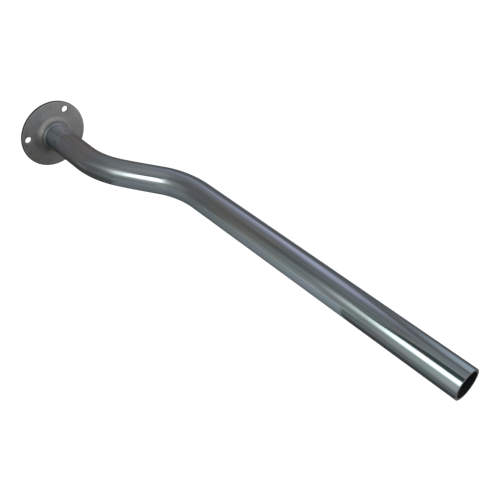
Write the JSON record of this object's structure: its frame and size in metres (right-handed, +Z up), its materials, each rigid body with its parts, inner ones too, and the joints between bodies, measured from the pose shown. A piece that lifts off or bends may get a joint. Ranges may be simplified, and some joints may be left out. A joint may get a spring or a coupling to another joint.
{
  "type": "flanged support tube",
  "caption": "Round steel tube with an offset double bend, welded square into a round flange with a drawn collar and bolt holes, open at its free end.",
  "frame": {"origin": "centre of the bolt circle, on the flange's mounting face", "axes": "+X out along the tube's first leg, square to the mounting face and away from it; +Y the way the tube steps aside; +Z up, square to the plane of the bends"},
  "size_m": [0.764, 0.1496, 0.114],
  "materials": {
    "tube_zinc": "bright zinc plating, faintly blue",
    "flange_zinc": "matt grained zinc plating",
    "weld_zinc": "plated weld bead"
  },
  "bodies": {
    "root": {"bent_tube": "tube_zinc", "flange": "flange_zinc", "root_weld": "weld_zinc"}
  },
  "joints": []
}
